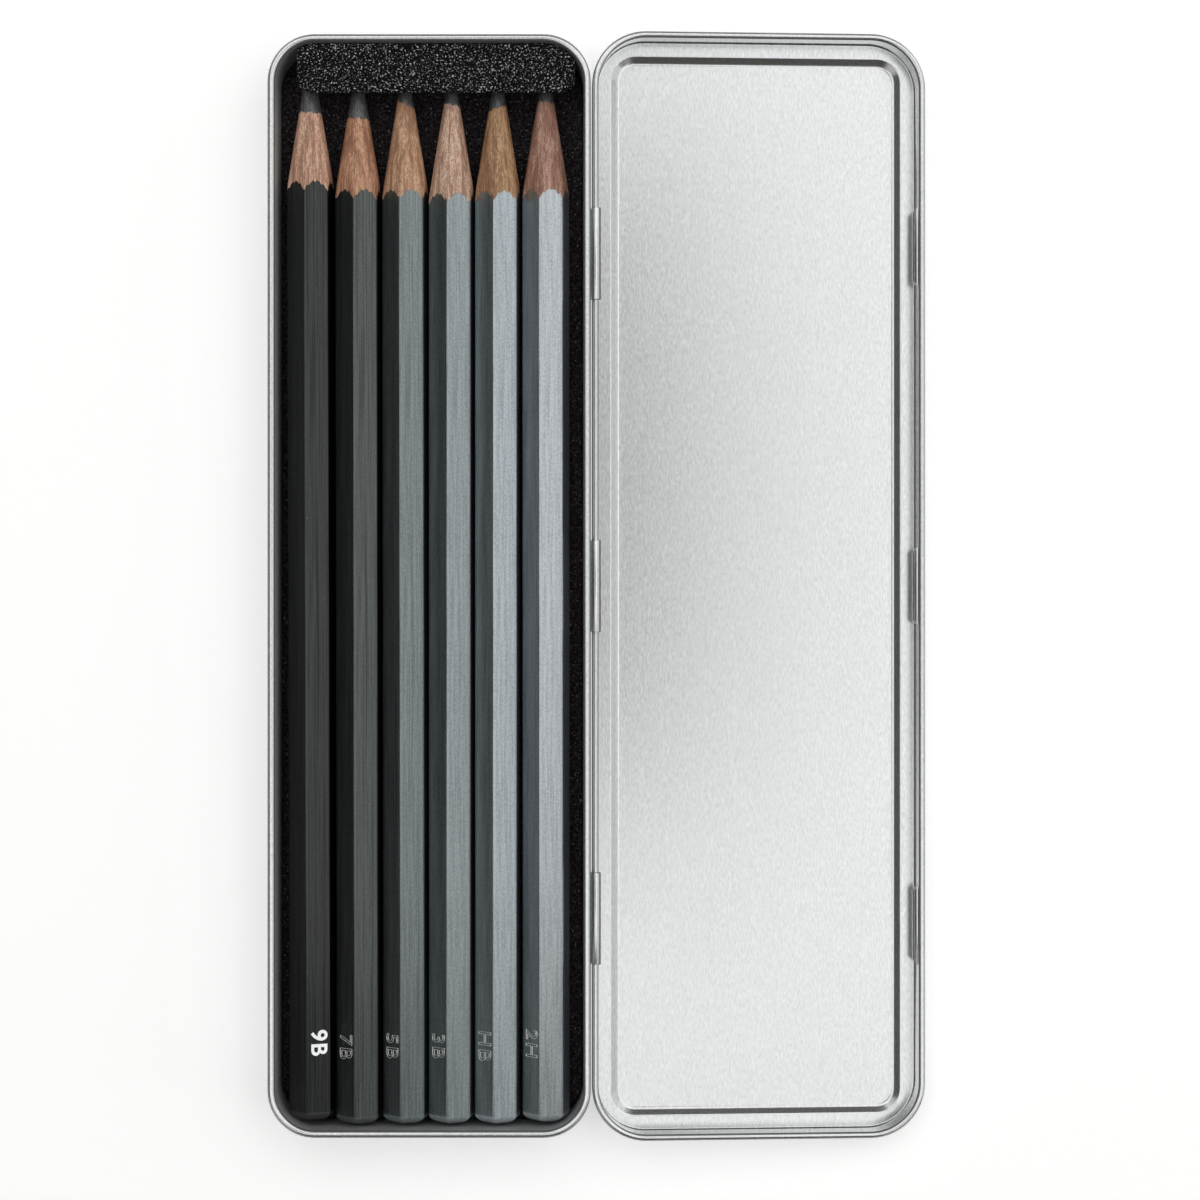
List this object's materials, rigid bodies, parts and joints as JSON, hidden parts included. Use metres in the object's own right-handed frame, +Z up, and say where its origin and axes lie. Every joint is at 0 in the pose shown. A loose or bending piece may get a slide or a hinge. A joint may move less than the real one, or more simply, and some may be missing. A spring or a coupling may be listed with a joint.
{
  "type": "pencil tin",
  "caption": "Flat hinged tinplate pencil box, opened flat, holding drawing pencils on a foam liner with a foam block over their points.",
  "frame": {"origin": "centre of the tray's flat underside", "axes": "+X towards the opened lid, +Y towards the pencil points, +Z up"},
  "size_m": [0.1074, 0.1816, 0.0124],
  "materials": {
    "tinplate": "satin",
    "liner_foam": "matte",
    "block_foam": "matte",
    "graphite": "satin",
    "lacquered_cedar_1": "satin",
    "lacquered_cedar_2": "satin",
    "lacquered_cedar_3": "satin",
    "lacquered_cedar_4": "satin",
    "lacquered_cedar_5": "satin",
    "lacquered_cedar_6": "satin"
  },
  "bodies": {
    "tray": {"base_tray": "tinplate", "foam_liner": "liner_foam", "tip_foam": "block_foam"},
    "lid": {"lid": "tinplate"},
    "pencil_1": {"pencil_1_right_slat": "lacquered_cedar_1", "pencil_1_left_slat": "lacquered_cedar_1", "pencil_1_lead": "graphite", "pencil_1_dipped_end": "lacquered_cedar_1"},
    "pencil_2": {"pencil_2_right_slat": "lacquered_cedar_2", "pencil_2_left_slat": "lacquered_cedar_2", "pencil_2_lead": "graphite", "pencil_2_dipped_end": "lacquered_cedar_2"},
    "pencil_3": {"pencil_3_right_slat": "lacquered_cedar_3", "pencil_3_left_slat": "lacquered_cedar_3", "pencil_3_lead": "graphite", "pencil_3_dipped_end": "lacquered_cedar_3"},
    "pencil_4": {"pencil_4_right_slat": "lacquered_cedar_4", "pencil_4_left_slat": "lacquered_cedar_4", "pencil_4_lead": "graphite", "pencil_4_dipped_end": "lacquered_cedar_4"},
    "pencil_5": {"pencil_5_right_slat": "lacquered_cedar_5", "pencil_5_left_slat": "lacquered_cedar_5", "pencil_5_lead": "graphite", "pencil_5_dipped_end": "lacquered_cedar_5"},
    "pencil_6": {"pencil_6_right_slat": "lacquered_cedar_6", "pencil_6_left_slat": "lacquered_cedar_6", "pencil_6_lead": "graphite", "pencil_6_dipped_end": "lacquered_cedar_6"}
  },
  "joints": [
    {"name": "lid_hinge", "type": "hinge", "parent": "tray", "child": "lid", "pos_m": [0.02695, 0, 0.0084], "axis": [0, 1, 0], "range_deg": [-183.69, 0]},
    {"name": "pencil_1_lift", "type": "hinge", "parent": "tray", "child": "pencil_1", "pos_m": [-0.01986, 0.08759, 0.00715], "axis": [-1, 0, 0], "range_deg": [0, 15]},
    {"name": "pencil_2_lift", "type": "hinge", "parent": "tray", "child": "pencil_2", "pos_m": [-0.0119, 0.08619, 0.00715], "axis": [-1, 0, 0], "range_deg": [0, 15]},
    {"name": "pencil_3_lift", "type": "hinge", "parent": "tray", "child": "pencil_3", "pos_m": [-0.0041, 0.08619, 0.00715], "axis": [-1, 0, 0], "range_deg": [0, 15]},
    {"name": "pencil_4_lift", "type": "hinge", "parent": "tray", "child": "pencil_4", "pos_m": [0.0035, 0.08559, 0.00715], "axis": [-1, 0, 0], "range_deg": [0, 15]},
    {"name": "pencil_5_lift", "type": "hinge", "parent": "tray", "child": "pencil_5", "pos_m": [0.011, 0.08599, 0.00715], "axis": [-1, 0, 0], "range_deg": [0, 15]},
    {"name": "pencil_6_lift", "type": "hinge", "parent": "tray", "child": "pencil_6", "pos_m": [0.0188, 0.08629, 0.00715], "axis": [-1, 0, 0], "range_deg": [0, 15]}
  ]
}
